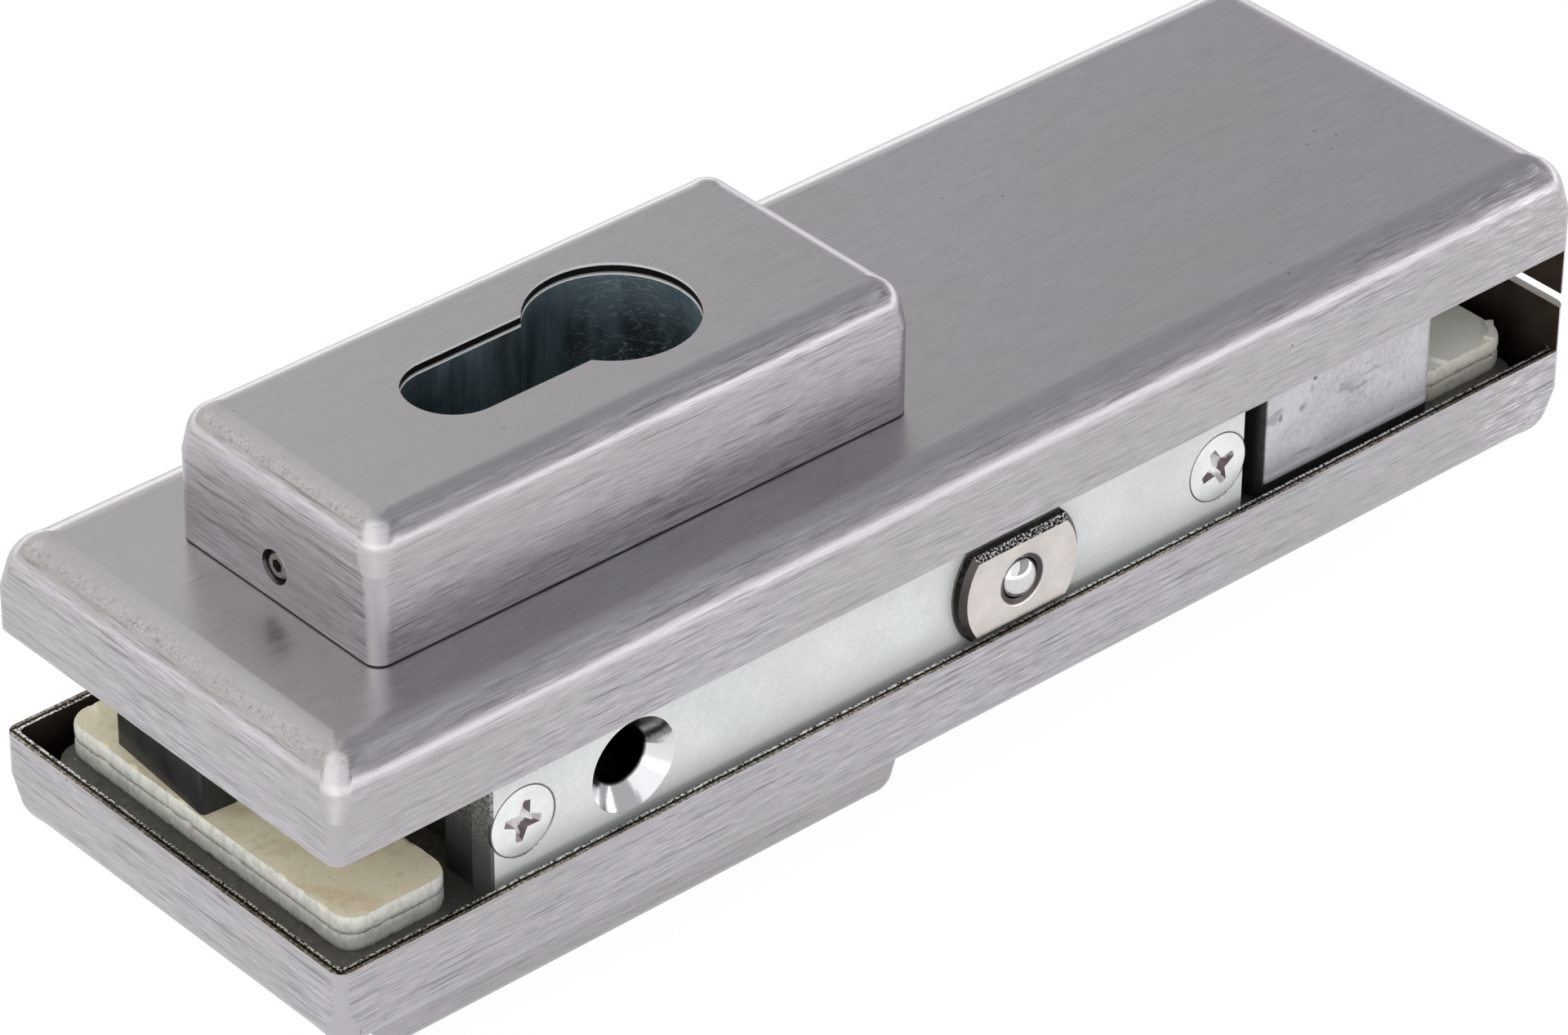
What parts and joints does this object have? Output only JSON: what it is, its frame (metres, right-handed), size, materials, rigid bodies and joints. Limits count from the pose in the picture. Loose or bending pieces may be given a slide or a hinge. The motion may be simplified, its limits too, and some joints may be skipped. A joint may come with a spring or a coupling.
{
  "type": "glass door patch lock",
  "caption": "Corner patch lock for a frameless glass door: clip-on brushed covers, a housing for a profile cylinder on each side, and a thrown bolt.",
  "frame": {"origin": "where the axis of the key cylinder crosses the middle plane of the glass", "axes": "+Z through the thickness of the glass along the cylinder's axis, +X along the covers away from the key cylinder, bolt thrown towards -Y"},
  "size_m": [0.164, 0.052, 0.061],
  "materials": {
    "brushed_sheet": "satin, brushed along the length",
    "plated_zinc": "plated, satin",
    "die_cast": "as cast, dark",
    "gasket_fibre": "pressed fibre",
    "gasket_cork": "mottled cork and rubber",
    "spring_steel": "bright spring steel",
    "bright_screw": "bright zinc plate",
    "cast_aluminium": "as cast",
    "black_plastic": "moulded",
    "plated_case": "galvanised, granular",
    "galvanised": "galvanised, mottled",
    "nickel": "nickel plate",
    "polished_ball": "polished"
  },
  "bodies": {
    "lock": {"upper_cover": "brushed_sheet", "lower_cover": "brushed_sheet", "upper_cylinder_housing": "brushed_sheet", "lower_cylinder_housing": "brushed_sheet", "upper_cylinder_guide": "plated_zinc", "lower_cylinder_guide": "plated_zinc", "upper_grub_screw": "bright_screw", "lower_grub_screw": "bright_screw", "upper_guide_screws": "bright_screw", "lower_guide_screws": "bright_screw", "upper_clamp_plate": "die_cast", "lower_clamp_plate": "die_cast", "upper_gasket_backing": "gasket_fibre", "lower_gasket_backing": "gasket_fibre", "upper_gasket_facing": "gasket_cork", "lower_gasket_facing": "gasket_cork", "upper_cover_clips": "spring_steel", "lower_cover_clips": "spring_steel", "clamp_screws": "bright_screw", "distance_block": "cast_aluminium", "transit_spacer": "black_plastic", "lock_case": "plated_case", "lock_case_lid": "plated_case", "lid_screws": "bright_screw", "case_screws": "bright_screw", "forend_plate": "galvanised", "forend_screws": "bright_screw", "detent_spring": "spring_steel", "detent_rivet": "bright_screw"},
    "bolt": {"deadbolt": "nickel", "bolt_tail": "plated_case", "tail_pins": "spring_steel", "ball_spring": "spring_steel", "ball_plug": "bright_screw"},
    "ball": {"bolt_ball": "polished_ball"}
  },
  "joints": [
    {"name": "bolt_throw", "type": "slide", "parent": "lock", "child": "bolt", "axis": [0, -1, 0], "range_m": [0, 0.015], "deforming": ["detent_spring"]},
    {"name": "ball_press", "type": "slide", "parent": "bolt", "child": "ball", "axis": [0, 1, 0], "range_m": [0, 0.0008], "stiffness_N_per_m": 150, "springref_m": -0.002, "deforming": ["ball_spring"]}
  ]
}
